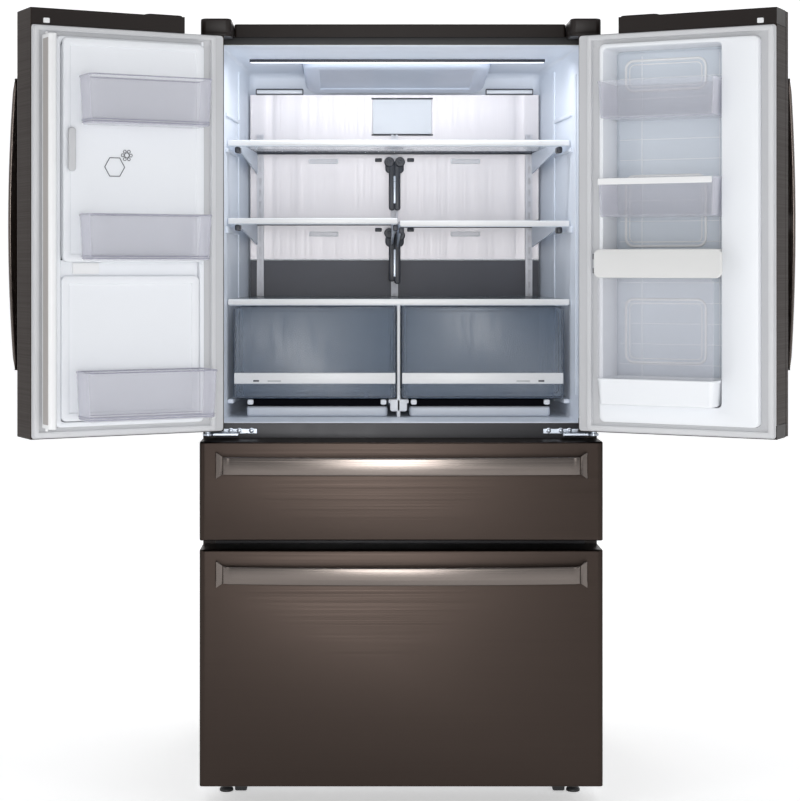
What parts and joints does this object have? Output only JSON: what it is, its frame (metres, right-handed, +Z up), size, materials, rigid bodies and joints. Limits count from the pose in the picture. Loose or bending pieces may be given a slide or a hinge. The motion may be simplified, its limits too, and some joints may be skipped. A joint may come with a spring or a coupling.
{
  "type": "french door refrigerator",
  "caption": "Tall refrigerator with two side-hinged upper doors, one with an outer service door, over a middle drawer and a bottom freezer drawer.",
  "frame": {"origin": "on the floor, in the middle of the width and halfway between the fronts of the open doors and the cabinet back, 185 mm behind the case front", "axes": "+X to the right seen from the front, +Y from the front to the back, +Z up"},
  "size_m": [1.7504, 1.1141, 1.778],
  "materials": {
    "dark_steel": "satin brushed",
    "dark_bar": "satin brushed",
    "zinc_steel": "zinc plated",
    "galvanised": "matte",
    "black_plastic": "matte",
    "grey_plastic": "fine grain",
    "white_plastic": "satin moulded",
    "dark_rail": "satin",
    "clear_plastic": "clear moulded",
    "glass": "tempered",
    "seal": "soft",
    "foam": "foam",
    "metal_duct": "satin",
    "black_enamel": "gloss",
    "aluminium_fin": "fins"
  },
  "bodies": {
    "cabinet": {"cabinet_shell": "dark_steel", "back_panel": "galvanised", "base_pan": "galvanised", "cabinet_foam": "foam", "fridge_liner": "white_plastic", "drawer_liner": "white_plastic", "freezer_liner": "white_plastic", "front_rails": "dark_rail", "top_cover": "dark_steel", "hinge_covers": "dark_steel", "door_hinges": "zinc_steel", "toe_grille": "black_plastic", "levelling_legs": "black_plastic", "roller_brackets": "zinc_steel", "compressor": "black_enamel", "condenser": "black_enamel", "machine_cover": "galvanised", "evaporator": "aluminium_fin", "freezer_duct_panel": "white_plastic", "back_duct_panel": "metal_duct", "ceiling_duct": "white_plastic", "shelf_ladders": "zinc_steel", "shelf_frames": "white_plastic", "shelf_glass": "glass", "drawer_slides": "zinc_steel"},
    "front_left_roller": {"front_left_roller": "black_plastic"},
    "front_right_roller": {"front_right_roller": "black_plastic"},
    "rear_rollers": {"rear_rollers": "black_plastic"},
    "condenser_fan": {"condenser_fan": "black_plastic"},
    "evaporator_fan": {"evaporator_fan": "black_plastic"},
    "crisper_left": {"crisper_left": "clear_plastic"},
    "crisper_right": {"crisper_right": "clear_plastic"},
    "left_door": {"left_door_skin": "dark_steel", "left_door_caps": "dark_steel", "left_door_liner": "grey_plastic", "left_door_gasket": "seal", "left_door_handle": "dark_bar", "left_lower_bin": "clear_plastic", "ice_maker": "white_plastic", "dispenser_frame": "black_plastic"},
    "ice_door": {"ice_door": "white_plastic", "ice_door_bins": "clear_plastic"},
    "ice_latch": {"ice_latch": "grey_plastic"},
    "mullion_flap": {"mullion_flap": "grey_plastic"},
    "dispenser_paddle": {"dispenser_paddle": "black_plastic"},
    "right_door": {"right_case": "grey_plastic", "right_door_caps": "dark_steel", "right_case_gasket": "seal", "right_baskets": "clear_plastic"},
    "outer_door": {"outer_door_skin": "dark_steel", "outer_door_liner": "grey_plastic", "right_door_handle": "dark_bar"},
    "release_button": {"release_button": "zinc_steel"},
    "middle_drawer": {"middle_drawer_front": "dark_steel", "middle_drawer_bin": "white_plastic", "middle_drawer_handle": "dark_bar"},
    "freezer_drawer": {"freezer_drawer_front": "dark_steel", "freezer_drawer_bin": "white_plastic", "freezer_drawer_handle": "dark_bar"},
    "freezer_tray": {"freezer_tray": "white_plastic"}
  },
  "joints": [
    {"name": "left_door_hinge", "type": "hinge", "parent": "cabinet", "child": "left_door", "pos_m": [-0.438, -0.245, 1.3], "axis": [0, 0, -1], "range_deg": [-152, 0]},
    {"name": "right_door_hinge", "type": "hinge", "parent": "cabinet", "child": "right_door", "pos_m": [0.438, -0.245, 1.3], "axis": [0, 0, 1], "range_deg": [-152, 0]},
    {"name": "mullion_flap_hinge", "type": "hinge", "parent": "left_door", "child": "mullion_flap", "pos_m": [-0.76361, -0.49741, 1.3], "axis": [0, 0, 1], "range_deg": [-90, 0]},
    {"name": "ice_door_hinge", "type": "hinge", "parent": "left_door", "child": "ice_door", "pos_m": [-0.44376, -0.33641, 1.47], "axis": [0, 0, 1], "range_deg": [0, 80]},
    {"name": "ice_latch_slide", "type": "slide", "parent": "ice_door", "child": "ice_latch", "axis": [0.8829, 0.4695, 0], "range_m": [0, 0.006], "stiffness_N_per_m": 300},
    {"name": "dispenser_paddle_hinge", "type": "hinge", "parent": "left_door", "child": "dispenser_paddle", "pos_m": [-0.61837, -0.34883, 1.181], "axis": [-0.8829, -0.4695, 0], "range_deg": [0, 4], "stiffness_Nm_per_rad": 0.5},
    {"name": "outer_door_hinge", "type": "hinge", "parent": "right_door", "child": "outer_door", "pos_m": [0.44831, -0.20858, 1.3], "axis": [0, 0, 1], "range_deg": [0, 45]},
    {"name": "release_button_slide", "type": "slide", "parent": "outer_door", "child": "release_button", "axis": [-0.4695, -0.8829, 0], "range_m": [0, 0.003], "stiffness_N_per_m": 400},
    {"name": "middle_drawer_slide", "type": "slide", "parent": "cabinet", "child": "middle_drawer", "axis": [0, -1, 0], "range_m": [0, 0.4]},
    {"name": "freezer_drawer_slide", "type": "slide", "parent": "cabinet", "child": "freezer_drawer", "axis": [0, -1, 0], "range_m": [0, 0.4]},
    {"name": "freezer_tray_slide", "type": "slide", "parent": "freezer_drawer", "child": "freezer_tray", "axis": [0, 1, 0], "range_m": [0, 0.11]},
    {"name": "crisper_left_slide", "type": "slide", "parent": "cabinet", "child": "crisper_left", "axis": [0, -1, 0], "range_m": [0, 0.27]},
    {"name": "crisper_right_slide", "type": "slide", "parent": "cabinet", "child": "crisper_right", "axis": [0, -1, 0], "range_m": [0, 0.27]},
    {"name": "front_left_roller_spin", "type": "hinge", "parent": "cabinet", "child": "front_left_roller", "pos_m": [-0.362, -0.115, 0.018], "axis": [1, 0, 0], "continuous": true},
    {"name": "front_right_roller_spin", "type": "hinge", "parent": "cabinet", "child": "front_right_roller", "pos_m": [0.362, -0.115, 0.018], "axis": [1, 0, 0], "continuous": true},
    {"name": "rear_rollers_spin", "type": "hinge", "parent": "cabinet", "child": "rear_rollers", "pos_m": [0, 0.505, 0.018], "axis": [1, 0, 0], "continuous": true},
    {"name": "condenser_fan_spin", "type": "hinge", "parent": "cabinet", "child": "condenser_fan", "pos_m": [-0.052, 0.44, 0.15], "axis": [1, 0, 0], "continuous": true},
    {"name": "evaporator_fan_spin", "type": "hinge", "parent": "cabinet", "child": "evaporator_fan", "pos_m": [0, 0.423, 0.505], "axis": [0, 1, 0], "continuous": true}
  ],
  "couplings": [
    {"joint": "mullion_flap_hinge", "follows": "left_door_hinge", "ratio": 0.5921}
  ]
}
